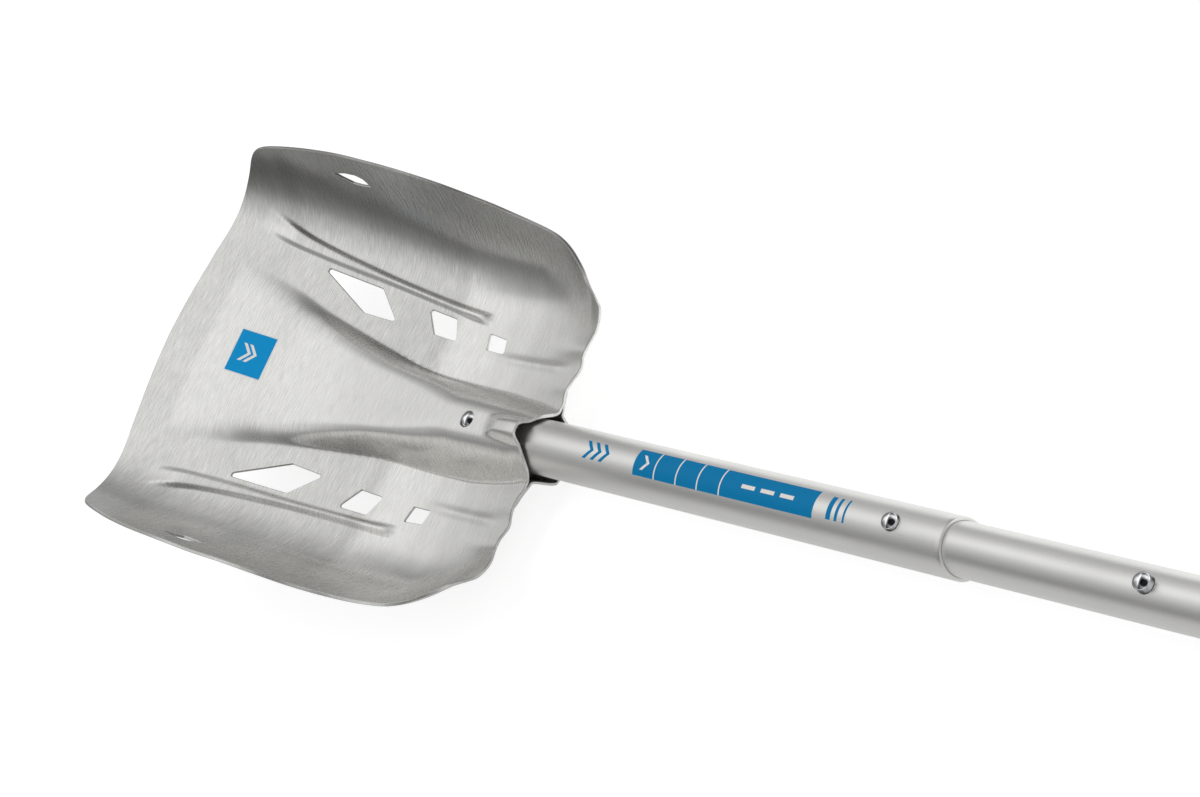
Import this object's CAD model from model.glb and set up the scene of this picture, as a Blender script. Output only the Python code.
"""A telescopic avalanche shovel: pressed blade, two oval tubes, snap buttons and a T-grip.

The working frame is in millimetres: x across, y along the shaft from the socket mouth towards
the grip, z out of the blade's front. The blade lies at negative y and the grip bar at y = 526.
The scene frame has the same directions, in metres, with its zero at (0, ORIGIN_Y, ORIGIN_Z).
Materials work in the scene frame, so their lengths are in metres.
"""
import math

import bmesh
import bpy
import numpy as np
from mathutils import Matrix, Vector
from mathutils.geometry import delaunay_2d_cdt


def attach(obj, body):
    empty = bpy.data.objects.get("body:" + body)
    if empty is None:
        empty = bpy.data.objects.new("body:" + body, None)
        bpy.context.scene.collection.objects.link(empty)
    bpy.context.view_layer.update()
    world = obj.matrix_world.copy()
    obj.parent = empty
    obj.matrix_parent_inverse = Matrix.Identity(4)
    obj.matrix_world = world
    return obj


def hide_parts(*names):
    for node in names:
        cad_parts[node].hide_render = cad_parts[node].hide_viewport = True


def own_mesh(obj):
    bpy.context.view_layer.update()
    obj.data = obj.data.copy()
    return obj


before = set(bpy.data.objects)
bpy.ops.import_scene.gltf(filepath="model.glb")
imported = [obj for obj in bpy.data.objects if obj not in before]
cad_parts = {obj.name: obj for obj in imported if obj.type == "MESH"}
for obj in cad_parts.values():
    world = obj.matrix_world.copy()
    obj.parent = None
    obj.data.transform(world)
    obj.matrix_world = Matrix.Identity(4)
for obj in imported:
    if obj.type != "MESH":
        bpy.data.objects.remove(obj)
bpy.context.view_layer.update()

ORIGIN_Y, ORIGIN_Z = 119.2065, -21.387

# places along the shaft shared by several pieces
BLADE_BUTTON_Y, MID_BUTTON_Y, UPPER_BUTTON_Y = -45.0, 280.7, 435.7
RIVET_Y, LANYARD_Y, GRIP_Y = 490.0, 516.5, 526.0
# half width and half depth of the upper tube, which the grip socket fits round
UPPER_RX, UPPER_RZ = 13.79, 17.29
MIRROR = np.array([-1, 1])


def to_scene(points):
    return (np.asarray(points, float) - np.array([0.0, ORIGIN_Y, ORIGIN_Z])) / 1000.0


# ---------------------------------------------------------------------------- curves
def hermite_weights(t):
    """Weights of the start value, start slope, end value and end slope."""
    return (2 * t**3 - 3 * t**2 + 1, t**3 - 2 * t**2 + t, -2 * t**3 + 3 * t**2, t**3 - t**2)


def pchip(stations, values):
    """Monotone cubic curve through the values at the stations, straight beyond both ends."""
    stations = np.asarray(stations, float)
    values = np.asarray(values, float)
    gaps = np.diff(stations)
    rises = np.diff(values) / gaps
    slopes = np.zeros_like(stations)
    slopes[0], slopes[-1] = rises[0], rises[-1]
    for i in range(1, len(stations) - 1):
        before, after = rises[i - 1], rises[i]
        if before * after > 0:
            weight_before = 2 * gaps[i] + gaps[i - 1]
            weight_after = gaps[i] + 2 * gaps[i - 1]
            slopes[i] = ((weight_before + weight_after)
                         / (weight_before / before + weight_after / after))

    def curve(x):
        x = np.asarray(x, float)
        i = np.clip(np.searchsorted(stations, x) - 1, 0, len(gaps) - 1)
        start, start_slope, end, end_slope = hermite_weights((x - stations[i]) / gaps[i])
        within = (start * values[i] + start_slope * gaps[i] * slopes[i]
                  + end * values[i + 1] + end_slope * gaps[i] * slopes[i + 1])
        beyond = np.where(x < stations[0], values[0] + slopes[0] * (x - stations[0]),
                          values[-1] + slopes[-1] * (x - stations[-1]))
        return np.where((x < stations[0]) | (x > stations[-1]), beyond, within)

    return curve


def smooth(t):
    t = np.clip(t, 0, 1)
    return t * t * (3 - 2 * t)


def fade(y, start, length):
    """Smooth step from 0 at start to 1 at start + length."""
    return smooth((y - start) / length)


def bell(x, centre, width):
    return np.exp(-((x - centre) / width) ** 2)


def running_sum(steps):
    return np.concatenate([[0], np.cumsum(steps)])


def resample(points, step, closed=False):
    """Points at even spacing along a polyline."""
    points = np.asarray(points, float)
    if closed:
        points = np.vstack([points, points[:1]])
    along = running_sum(np.linalg.norm(np.diff(points, axis=0), axis=1))
    count = max(2, int(round(along[-1] / step)))
    spaced = np.linspace(0, along[-1], count + 1)
    result = np.stack([np.interp(spaced, along, points[:, k])
                       for k in range(points.shape[1])], 1)
    return result[:-1] if closed else result


def catmull(points, step):
    """Smooth open curve through points, evenly spaced."""
    points = np.asarray(points, float)
    result = []
    for i in range(len(points) - 1):
        before, start, end = points[max(i - 1, 0)], points[i], points[i + 1]
        after = points[min(i + 2, len(points) - 1)]
        d1 = max(np.linalg.norm(start - before), 1e-6) ** 0.5
        d2 = max(np.linalg.norm(end - start), 1e-6) ** 0.5
        d3 = max(np.linalg.norm(after - end), 1e-6) ** 0.5
        # a missing neighbour at either end leaves a near-zero distance
        start_slope = end_slope = (end - start) / d2
        if d1 > 1e-2:
            start_slope = ((start - before) / d1 - (end - before) / (d1 + d2)
                           + (end - start) / d2)
        if d3 > 1e-2:
            end_slope = (end - start) / d2 - (after - start) / (d2 + d3) + (after - end) / d3
        start_slope, end_slope = start_slope * d2, end_slope * d2
        for t in np.linspace(0, 1, 12, endpoint=False):
            weights = hermite_weights(t)
            result.append(weights[0] * start + weights[1] * start_slope
                          + weights[2] * end + weights[3] * end_slope)
    result.append(points[-1])
    return resample(np.array(result), step)


def rounded(corners, radius, step):
    """Closed polygon with rounded corners, evenly spaced points."""
    corners = np.asarray(corners, float)
    result = []
    for i, corner in enumerate(corners):
        back = corners[i - 1] - corner
        ahead = corners[(i + 1) % len(corners)] - corner
        back = back / np.linalg.norm(back)
        ahead = ahead / np.linalg.norm(ahead)
        angle = math.acos(float(np.clip(back @ ahead, -1, 1)))
        setback = radius / math.tan(angle / 2)
        bisector = (back + ahead) / np.linalg.norm(back + ahead)
        centre = corner + bisector * radius / math.sin(angle / 2)
        first = math.atan2(*(corner + back * setback - centre)[::-1])
        last = math.atan2(*(corner + ahead * setback - centre)[::-1])
        sweep = (last - first + math.pi) % (2 * math.pi) - math.pi
        for t in np.linspace(0, 1, 9):
            turn = first + sweep * t
            result.append(centre + radius * np.array([math.cos(turn), math.sin(turn)]))
    return resample(np.array(result), step, True)


def circle(centre_x, centre_y, radius, count):
    turn = np.linspace(0, 2 * math.pi, count, endpoint=False)
    return np.stack([centre_x + radius * np.cos(turn), centre_y + radius * np.sin(turn)], 1)


def inside(loop, points):
    """Which points lie inside a closed polygon."""
    x, y = points[:, 0], points[:, 1]
    result = np.zeros(len(points), bool)
    for i in range(len(loop)):
        x0, y0 = loop[i]
        x1, y1 = loop[(i + 1) % len(loop)]
        if y0 == y1:
            continue
        result ^= ((y0 > y) != (y1 > y)) & (x < (x1 - x0) * (y - y0) / (y1 - y0) + x0)
    return result


def near(loop, points, distance):
    """Which points lie closer than distance to a closed loop's vertices."""
    result = np.zeros(len(points), bool)
    for i in range(0, len(loop), 64):
        block = loop[i:i + 64]
        squares = ((points[:, None, :] - block[None, :, :]) ** 2).sum(-1)
        result |= squares.min(1) < distance * distance
    return result


# ---------------------------------------------------------------------------- meshes
def tidy(mesh, sharp_deg, merge=0.0, dissolve=0.0):
    """Clean a mesh, shade it smooth and mark edges bent by sharp_deg or more as sharp."""
    work = bmesh.new()
    work.from_mesh(mesh)
    if merge:
        bmesh.ops.remove_doubles(work, verts=work.verts, dist=merge)
    if dissolve:
        bmesh.ops.dissolve_degenerate(work, edges=work.edges, dist=dissolve)
    bmesh.ops.recalc_face_normals(work, faces=work.faces)
    for face in work.faces:
        face.smooth = True
    for edge in work.edges:
        if len(edge.link_faces) == 2:
            edge.smooth = edge.calc_face_angle(0.0) < math.radians(sharp_deg)
    work.to_mesh(mesh)
    work.free()
    mesh.update()


def new_mesh(name, verts, faces, sharp_deg, uv=None):
    """Object from vertices in the working frame; uv holds one pair per vertex."""
    mesh = bpy.data.meshes.new(name)
    mesh.from_pydata([tuple(v) for v in to_scene(verts)], [],
                     [tuple(map(int, face)) for face in faces])
    mesh.validate()
    obj = bpy.data.objects.new(name, mesh)
    bpy.context.scene.collection.objects.link(obj)
    if uv is not None:
        layer = mesh.uv_layers.new(name="flow")
        index = np.zeros(len(mesh.loops), np.int32)
        mesh.loops.foreach_get("vertex_index", index)
        layer.data.foreach_set("uv", np.asarray(uv, np.float32)[index].ravel())
    tidy(mesh, sharp_deg)
    return obj


def skin(rings, cap=True):
    """Vertices and faces joining equal closed rings in order, capped at both ends."""
    count = len(rings[0])
    faces = []
    for k in range(len(rings) - 1):
        here, following = k * count, (k + 1) * count
        for i in range(count):
            j = (i + 1) % count
            faces.append((here + i, here + j, following + j, following + i))
    if cap:
        faces.append(tuple(range(count))[::-1])
        faces.append(tuple(range((len(rings) - 1) * count, len(rings) * count)))
    return np.vstack(rings), faces


def height_surface(height, reach=0.04):
    """Place and normal functions of a surface z = height(x, y)."""
    def place(points):
        return np.stack([points[:, 0], points[:, 1], height(points[:, 0], points[:, 1])], 1)

    def normal(points):
        x, y = points[:, 0], points[:, 1]
        slope_x = (height(x + reach, y) - height(x - reach, y)) / (2 * reach)
        slope_y = (height(x, y + reach) - height(x, y - reach)) / (2 * reach)
        result = np.stack([-slope_x, -slope_y, np.ones_like(slope_x)], -1)
        return result / np.linalg.norm(result, axis=-1, keepdims=True)

    return place, normal


def flat_uv(points):
    return points / 1000


def triangulate(loops, points):
    """Points of the loops and the interior, and triangles between the outline and holes."""
    clearance = 0.55
    keep = inside(loops[0], points) & ~near(loops[0], points, clearance)
    for hole in loops[1:]:
        keep &= ~inside(hole, points) & ~near(hole, points, clearance)
    flat = np.vstack(loops + [points[keep]])
    edges, rings, start = [], [], 0
    for loop in loops:
        count = len(loop)
        edges += [(start + i, start + (i + 1) % count) for i in range(count)]
        rings.append(np.arange(start, start + count))
        start += count
    found = delaunay_2d_cdt([Vector(p) for p in flat], edges, [], 1, 1e-7)
    source = {i: origin[0] for i, origin in enumerate(found[3]) if origin}
    triangles = []
    for face in found[2]:
        ids = [source.get(i, -1) for i in face]
        if -1 not in ids and len(set(ids)) >= 3:
            triangles.append(ids)
    triangles = np.array(triangles)
    centres = flat[triangles].mean(1)
    keep = inside(loops[0], centres)
    for hole in loops[1:]:
        keep &= ~inside(hole, centres)
    triangles = triangles[keep]
    a, b, c = (flat[triangles[:, k]] for k in range(3))
    area = ((b[:, 0] - a[:, 0]) * (c[:, 1] - a[:, 1])
            - (b[:, 1] - a[:, 1]) * (c[:, 0] - a[:, 0]))
    keep = np.abs(area) > 1e-9
    triangles, area = triangles[keep], area[keep]
    triangles[area < 0] = triangles[area < 0][:, ::-1]
    return flat, rings, triangles


def sheet_mesh(loops, interior, surface, thick, uv_of, chamfer, open_outline=False):
    """A thin sheet: loops[0] is its outline and the others holes, in a flat domain.

    surface is the pair of functions that give each flat point its place and normal.
    """
    loops = [np.asarray(loop, float) for loop in loops]
    flat, rings, triangles = triangulate(loops, np.asarray(interior, float))
    front, normals = (function(flat) for function in surface)
    count = len(flat)
    verts = [front, front - normals * thick]
    uvs = [uv_of(flat), uv_of(flat)]
    faces = [tuple(t) for t in triangles]
    faces += [(t[0] + count, t[2] + count, t[1] + count) for t in triangles]
    base = 2 * count
    for k, (loop, ids) in enumerate(zip(loops, rings)):
        if open_outline and k == 0:
            continue
        size = len(ids)
        edge, normal = front[ids], normals[ids]
        tangent = np.roll(edge, -1, 0) - np.roll(edge, 1, 0)
        tangent /= np.maximum(np.linalg.norm(tangent, axis=1, keepdims=True), 1e-9)
        outward = np.cross(tangent, normal)
        outward /= np.maximum(np.linalg.norm(outward, axis=1, keepdims=True), 1e-9)
        # outward means away from the sheet, whichever way the loop runs
        x, y = loop[:, 0], loop[:, 1]
        area = np.sum(x * np.roll(y, -1) - np.roll(x, -1) * y)
        sign = 1.0 if (area > 0) == (k == 0) else -1.0
        outward = outward * sign
        verts += [edge + (outward - normal) * chamfer,
                  edge + outward * chamfer - normal * (thick - chamfer)]
        uvs += [uv_of(flat[ids])] * 2
        rows = [ids, np.arange(base, base + size),
                np.arange(base + size, base + 2 * size), ids + count]
        base += 2 * size
        for upper, lower in zip(rows[:-1], rows[1:]):
            for i in range(size):
                j = (i + 1) % size
                if sign < 0:
                    faces.append((upper[i], upper[j], lower[j], lower[i]))
                else:
                    faces.append((upper[j], upper[i], lower[i], lower[j]))
    return np.vstack(verts), faces, np.vstack(uvs)


# ---------------------------------------------------------------------------- shader helpers
def fill_ramp(ramp, stops):
    """stops: (position, (r, g, b))."""
    while len(ramp.elements) < len(stops):
        ramp.elements.new(0.5)
    for element, (position, color) in zip(ramp.elements, stops):
        element.position = position
        element.color = (*color, 1.0)


def shade(color, gain, lift=0.0):
    return tuple(min(1.0, c * gain + lift) for c in color)


class Tree:
    """Short-hand for building a node tree; values may be numbers or sockets."""

    def __init__(self, tree):
        self.tree = tree
        tree.nodes.clear()

    def put(self, node, key, value):
        if isinstance(value, bpy.types.NodeSocket):
            self.tree.links.new(value, node.inputs[key])
        else:
            node.inputs[key].default_value = value

    def node(self, kind, inputs=None, **settings):
        node = self.tree.nodes.new("ShaderNode" + kind)
        for name, value in settings.items():
            setattr(node, name, value)
        for key, value in (inputs or {}).items():
            self.put(node, key, value)
        return node

    def math(self, operation, a, b=0.0):
        return self.node("Math", {0: a, 1: b}, operation=operation).outputs[0]

    def multiply(self, a, b):
        return self.math("MULTIPLY", a, b)

    def subtract(self, a, b):
        return self.math("SUBTRACT", a, b)

    def add_scaled(self, value, extra, amount):
        return self.math("ADD", value, self.multiply(extra, amount))

    def weighted(self, *terms):
        """Sum of (value, weight) pairs."""
        total = self.multiply(*terms[0])
        for value, weight in terms[1:]:
            total = self.add_scaled(total, value, weight)
        return total

    def union(self, masks):
        total = masks[0]
        for mask in masks[1:]:
            total = self.math("MAXIMUM", total, mask)
        return total

    def coords(self, kind="Object"):
        return self.node("TexCoord").outputs[kind]

    def split(self, vector):
        return self.node("SeparateXYZ", {0: vector}).outputs

    def remap(self, value, low, high, start=0.0, end=1.0):
        """Takes low..high to start..end, clamped."""
        return self.node("MapRange", {0: value, 1: low, 2: high, 3: start, 4: end}).outputs[0]


class Material(Tree):
    """A material with one principled shader."""

    def __init__(self, name):
        self.material = bpy.data.materials.new(name)
        self.material.use_nodes = True
        super().__init__(self.material.node_tree)
        output = self.node("OutputMaterial")
        self.shader = self.node("BsdfPrincipled")
        self.put(output, 0, self.shader.outputs[0])

    def uv(self):
        return self.node("UVMap", uv_map="flow").outputs[0]

    def noise(self, coords, scale, detail=2.0, rough=0.5, shift=(0, 0, 0)):
        vector = self.node("Mapping", {"Vector": coords, "Scale": scale,
                                       "Location": shift}).outputs[0]
        return self.node("TexNoise", {"Vector": vector, "Scale": 1.0, "Detail": detail,
                                      "Roughness": rough}).outputs[0]

    def grain(self, scale, detail=2.0, rough=0.5):
        """Noise of one scale in every object direction."""
        return self.noise(self.coords(), (scale, scale, scale), detail, rough)

    def mix(self, factor, a, b):
        a, b = ((*c, 1.0) if isinstance(c, tuple) else c for c in (a, b))
        return self.node("Mix", {0: factor, 6: a, 7: b}, data_type="RGBA").outputs[2]

    def mix_value(self, factor, a, b):
        return self.node("Mix", {0: factor, 2: a, 3: b}, data_type="FLOAT").outputs[0]

    def tint(self, color, toward, mask, amount):
        return self.mix(self.multiply(mask, amount), color, toward)

    def bump(self, height, distance, strength):
        return self.node("Bump", {"Strength": strength, "Distance": distance,
                                  "Height": height}).outputs[0]

    def surface(self, **values):
        """Sets shader inputs, with _ for spaces, and returns the finished material."""
        for name, value in values.items():
            self.put(self.shader, name.replace("_", " "), value)
        return self.material

    def edge_mask(self, a, b):
        """1 where both distances are positive, with a fine soft edge."""
        soft = 0.00008
        return self.remap(self.math("MINIMUM", a, b), low=-soft, high=soft)

    def box(self, x, y, centre, half):
        """1 inside a rectangle."""
        return self.edge_mask(*(
            self.subtract(reach, self.math("ABSOLUTE", self.subtract(value, middle)))
            for value, middle, reach in zip((x, y), centre, half)))

    def chevron(self, x, y, centre, size, width):
        """1 on a chevron pointing along +y; size and width are half measures."""
        off = self.math("ABSOLUTE", self.subtract(x, centre[0]))
        band = self.subtract(self.math("ADD", self.subtract(y, centre[1]), off), 0.0)
        return self.edge_mask(self.subtract(width, self.math("ABSOLUTE", band)),
                              self.subtract(size, off))


# ---------------------------------------------------------------------------- materials
BLUE = (0.0, 0.20, 0.44)
PALE = (0.84, 0.80, 0.76)


def scene_y(y):
    return (y - ORIGIN_Y) / 1000


def brushed_base(mat, uv, base, smoothest, roughest):
    """Brushed metal with blotches and scratches: colour, roughness and height."""
    fine = mat.noise(uv, scale=(115.0, 2300.0, 1.0), rough=0.6)
    middle = mat.noise(uv, scale=(90.0, 1250.0, 1.0), rough=0.55, shift=(3.1, 7.7, 0))
    wide = mat.noise(uv, scale=(42.0, 470.0, 1.0), shift=(5.3, 2.9, 0))
    blotch = mat.noise(uv, scale=(24.0, 34.0, 1.0), detail=4.0, rough=0.6, shift=(9.1, 1.7, 0))
    scratch = mat.noise(uv, scale=(16.0, 1900.0, 1.0), detail=1.0, shift=(1.3, 4.4, 0))
    scratch = mat.remap(scratch, low=0.70, high=0.77)
    lines = mat.weighted((fine, 0.56), (middle, 0.36), (wide, 0.08))
    tone = mat.remap(lines, low=0.36, high=0.64)
    color = mat.mix(tone, shade(base, gain=0.89), shade(base, gain=1.06))
    color = mat.tint(color, shade(base, gain=0.80), mat.remap(blotch, low=0.35, high=0.7),
                     amount=0.08)
    color = mat.tint(color, shade(base, gain=1.18), scratch, amount=0.30)
    rough = mat.add_scaled(
        mat.remap(lines, low=0.36, high=0.64, start=roughest, end=smoothest),
        mat.remap(blotch, low=0.3, high=0.75, start=-1.0), amount=0.02)
    return color, rough, mat.add_scaled(lines, scratch, amount=-0.35)


def blade_material():
    mat = Material("brushed_blade")
    color, rough, height = brushed_base(mat, mat.uv(), base=(0.80, 0.795, 0.775),
                                        smoothest=0.20, roughest=0.30)
    x, y, _ = mat.split(mat.coords())
    # the wall at negative x is darkened in colour only; its finish is the same
    color = mat.tint(color, (0.12, 0.12, 0.115), mat.remap(x, low=-0.086, high=-0.108),
                     amount=0.42)
    # printed square with a pale outline and a double chevron, on the front face only
    print_x, print_y, half, outline = -0.0034, scene_y(-237.6), 0.01385, 0.0006
    outer = mat.box(x, y, (print_x, print_y), (half + outline, half + outline))
    inner = mat.box(x, y, (print_x, print_y), (half, half))
    chevrons = mat.union([mat.chevron(x, y, (print_x, chevron_y), size=0.0058, width=0.0013)
                          for chevron_y in (print_y + 0.0035, print_y - 0.0012)])
    normal = mat.node("NewGeometry").outputs["Normal"]
    front = mat.multiply(outer, mat.remap(mat.split(normal)[2], low=0.0, high=0.1))
    pale = mat.multiply(front, mat.union([mat.subtract(1.0, inner),
                                          mat.multiply(inner, chevrons)]))
    speckle = mat.remap(mat.grain(2600, detail=1.0), low=0.3, high=0.7)
    blue = mat.mix(speckle, shade(BLUE, gain=1.38), shade(BLUE, gain=1.56))
    color = mat.mix(front, color, mat.mix(pale, blue, PALE))
    relief = mat.add_scaled(mat.multiply(height, mat.mix_value(front, 1.0, 0.25)), front,
                            amount=0.8)
    return mat.surface(
        Base_Color=color,
        Metallic=mat.mix_value(front, 1.0, 0.0),
        Roughness=mat.mix_value(front, rough, 0.42),
        Specular_IOR_Level=0.07,
        Anisotropic=mat.mix_value(front, 0.55, 0.0),
        Anisotropic_Rotation=0.25,
        Tangent=mat.node("Tangent", direction_type="UV_MAP", uv_map="flow").outputs[0],
        Normal=mat.bump(relief, distance=0.00002, strength=0.4))


def shaft_print(mat, color, rough):
    """Blue print along the tube's front: colour, metallic and roughness."""
    x, y, z = mat.split(mat.coords())
    front = mat.remap(z, low=(0 - ORIGIN_Z) / 1000, high=(2 - ORIGIN_Z) / 1000)
    half_width = 0.00745
    band = mat.box(x, y, (0.0, scene_y(161.6)), (half_width, 0.0669))
    # pale on the band: dividers, a chevron in the first cell and three bars in the long one
    pale = [mat.box(x, y, (0.0, scene_y(at)), (half_width, 0.00045))
            for at in (111.2, 128.1, 144.3, 160.9)]
    pale.append(mat.chevron(x, y, (0.0, scene_y(105.0)), size=0.0042, width=0.0011))
    pale += [mat.box(x, y, (0.0, scene_y(181.0 + 14.0 * k)), (0.0011, 0.0048))
             for k in range(3)]
    pale = mat.union(pale)
    # blue on bare metal: three chevrons below the band and three thinning bars above it
    marks = [mat.chevron(x, y, (0.0, scene_y(at)), size=0.0052, width=0.0014)
             for at in (60.0, 66.5, 73.0)]
    marks += [mat.box(x, y, (0.0, scene_y(239.5 + 5.2 * k)), (0.0062, half))
              for k, half in enumerate((0.0016, 0.0010, 0.0007))]
    inked = mat.multiply(mat.math("MAXIMUM", band, mat.union(marks)), front)
    inked_pale = mat.multiply(mat.multiply(band, pale), front)
    color = mat.mix(inked, color, mat.mix(inked_pale, BLUE, PALE))
    return color, mat.mix_value(inked, 1.0, 0.0), mat.mix_value(inked, rough, 0.40)


def tube_material(name, printed):
    """Satin aluminium with lines along the tube, blotches and rubbed streaks."""
    mat = Material(name)
    uv = mat.uv()
    base = (0.92, 0.915, 0.895)
    grain = mat.grain(1500, detail=3.0, rough=0.6)
    line = mat.noise(uv, scale=(2600.0, 22.0, 1.0))
    blotch = mat.noise(uv, scale=(40.0, 18.0, 1.0), detail=3.0, rough=0.55,
                       shift=(4.2, 0.3, 0))
    rub = mat.noise(uv, scale=(900.0, 6.0, 1.0), detail=1.0, shift=(8.2, 3.3, 0))
    rub = mat.remap(rub, low=0.68, high=0.76)
    satin = mat.weighted((grain, 0.55), (line, 0.45))
    color = mat.mix(mat.remap(satin, low=0.35, high=0.65), shade(base, gain=0.95),
                    shade(base, gain=1.035))
    color = mat.tint(color, shade(base, gain=0.86), mat.remap(blotch, low=0.4, high=0.7),
                     amount=0.08)
    color = mat.tint(color, shade(base, gain=1.12), rub, amount=0.22)
    rough = mat.add_scaled(mat.remap(satin, low=0.3, high=0.7, start=0.36, end=0.45),
                           mat.remap(blotch, low=0.3, high=0.75, start=-1.0), amount=0.03)
    metallic = 1.0
    if printed:
        color, metallic, rough = shaft_print(mat, color, rough)
    return mat.surface(Base_Color=color, Metallic=metallic, Roughness=rough,
                       Specular_IOR_Level=0.07,
                       Normal=mat.bump(satin, distance=0.00002, strength=0.5))


def metal_material(name, base, smoothest, roughest, scale, bump=0.00002, streak=(1, 1, 1)):
    """Grained metal; streak stretches the grain by direction."""
    mat = Material(name)
    grain = mat.noise(mat.coords(), tuple(scale * s for s in streak), detail=4.0, rough=0.6)
    blotch = mat.grain(60, detail=3.0, rough=0.6)
    color = mat.mix(mat.remap(grain, low=0.3, high=0.7), shade(base, gain=0.9),
                    shade(base, gain=1.06))
    color = mat.tint(color, shade(base, gain=0.75), mat.remap(blotch, low=0.45, high=0.7),
                     amount=0.15)
    rough = mat.remap(mat.weighted((grain, 0.6), (blotch, 0.4)), low=0.3, high=0.7,
                      start=smoothest, end=roughest)
    return mat.surface(Base_Color=color, Metallic=1.0, Roughness=rough,
                       Normal=mat.bump(grain, distance=bump, strength=0.5))


def chrome_material():
    """Polished dome: dark where it faces the viewer, white round that, dark at its foot."""
    mat = Material("polished_chrome")
    facing = mat.node("LayerWeight", {0: 0.5}).outputs["Facing"]
    ripple = mat.subtract(mat.grain(420), 0.5)
    facing = mat.add_scaled(facing, ripple, amount=0.05)
    ramp = mat.node("ValToRGB", {0: facing})
    fill_ramp(ramp.color_ramp, [
        (0.0, (0.02, 0.02, 0.025)), (0.045, (0.03, 0.03, 0.035)),
        (0.085, (0.80, 0.81, 0.84)), (0.20, (1.0, 1.0, 1.0)),
        (0.42, (0.86, 0.87, 0.90)), (0.60, (0.20, 0.205, 0.22)),
        (0.78, (0.05, 0.05, 0.06)), (1.0, (0.30, 0.31, 0.33))])
    scratch = mat.noise(mat.coords(), scale=(2500, 300, 2500))
    # a glint in the white ring, on the side towards negative x
    glint = mat.multiply(mat.remap(facing, low=0.09, high=0.14),
                         mat.remap(facing, low=0.22, high=0.34, start=1.0, end=0.0))
    normal_x = mat.split(mat.coords("Normal"))[0]
    glint = mat.multiply(glint, mat.remap(normal_x, low=-0.1, high=-0.35))
    glint_strength = 0.5
    return mat.surface(
        Base_Color=ramp.outputs[0],
        Metallic=1.0,
        Roughness=mat.remap(scratch, low=0.3, high=0.7, start=0.03, end=0.09),
        Emission_Color=(1.0, 1.0, 1.0, 1.0),
        Emission_Strength=mat.multiply(glint, glint_strength),
        Normal=mat.bump(scratch, distance=0.000003, strength=0.4))


def plastic_material(name, base, smoothest, roughest, grain, bump, wear=0.25):
    """Grained plastic with paler, smoother edges."""
    mat = Material(name)
    fine = mat.grain(grain, rough=0.55)
    blotch = mat.grain(45, detail=4.0, rough=0.6)
    pointiness = mat.node("NewGeometry").outputs["Pointiness"]
    edge = mat.multiply(mat.remap(pointiness, low=0.52, high=0.60),
                        mat.remap(blotch, low=0.4, high=0.6, start=0.3))
    color = mat.mix(mat.remap(blotch, low=0.3, high=0.7), shade(base, gain=0.88),
                    shade(base, gain=1.12))
    color = mat.tint(color, shade(base, gain=2.2, lift=0.03), edge, amount=wear)
    rough = mat.add_scaled(mat.remap(fine, low=0.3, high=0.7, start=smoothest, end=roughest),
                           edge, amount=-0.08)
    return mat.surface(Base_Color=color, Metallic=0.0, Roughness=rough,
                       Normal=mat.bump(fine, distance=bump, strength=0.6))


def floor_material():
    """Pale floor: one even glow for the camera, another for what the metal reflects."""
    mat = Material("pale_floor")
    cloud = mat.remap(mat.grain(3, detail=3.0), low=0.3, high=0.7)
    color = mat.mix(cloud, (0.35, 0.35, 0.35), (0.37, 0.37, 0.37))
    is_camera = mat.node("LightPath").outputs["Is Camera Ray"]
    x, y, _ = mat.split(mat.coords())
    camera_glow = 0.79
    reflected = mat.mix_value(mat.remap(y, low=-0.30, high=-0.20),
                              mat.remap(x, low=-0.1, high=0.1, start=0.14, end=0.10),
                              mat.remap(x, low=-0.04, high=0.04, start=0.70, end=0.27))
    return mat.surface(Base_Color=color, Roughness=0.8, Specular_IOR_Level=0.0,
                       Emission_Color=(1.0, 1.0, 1.0, 1.0),
                       Emission_Strength=mat.mix_value(is_camera, reflected, camera_glow))


BLADE_METAL = blade_material()
PRINTED_TUBE = tube_material("satin_tube_printed", printed=True)
PLAIN_TUBE = tube_material("satin_tube", printed=False)
CHROME = chrome_material()
SPRING = metal_material("spring_strip", (0.46, 0.47, 0.49), smoothest=0.22, roughest=0.36,
                        scale=900.0, bump=0.00001, streak=(1, 0.05, 1))
WELD = metal_material("weld_bead", (0.70, 0.70, 0.69), smoothest=0.30, roughest=0.48,
                      scale=1400.0, bump=0.00006)
RIVET = metal_material("rivet_steel", (0.58, 0.59, 0.61), smoothest=0.24, roughest=0.36,
                       scale=1500.0)
PLUG = plastic_material("plug_plastic", (0.035, 0.035, 0.038), smoothest=0.42,
                        roughest=0.56, grain=2200.0, bump=0.00003)
GRIP = plastic_material("grip_plastic", (0.045, 0.047, 0.05), smoothest=0.40,
                        roughest=0.55, grain=1500.0, bump=0.00005)
SOFT = plastic_material("grip_soft", (0.012, 0.165, 0.33), smoothest=0.58,
                        roughest=0.72, grain=2600.0, bump=0.00005, wear=0.12)


def set_material(obj, material):
    obj.data.materials.clear()
    obj.data.materials.append(material)


def finish_piece(obj, material, body, slot, *nodes):
    """Give a piece its material and tell the frame what it rides on and replaces."""
    set_material(obj, material)
    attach(obj, body)
    if nodes:
        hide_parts(*nodes)


# ---------------------------------------------------------------------------- blade surface
# Each curve runs along the blade: its y stations, then its values there.
# height of the floor on the centre line, under the ridge
FLOOR = pchip([-320, -301, -274, -224, -181, -156, -131, -114, -92, -75, -60, -40, -20, 0, 20],
              [62.8, 56.5, 47.6, 31, 17, 9, 1, -4, -7, -8, -8, -6.5, -3.5, 0.5, 4])
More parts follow.
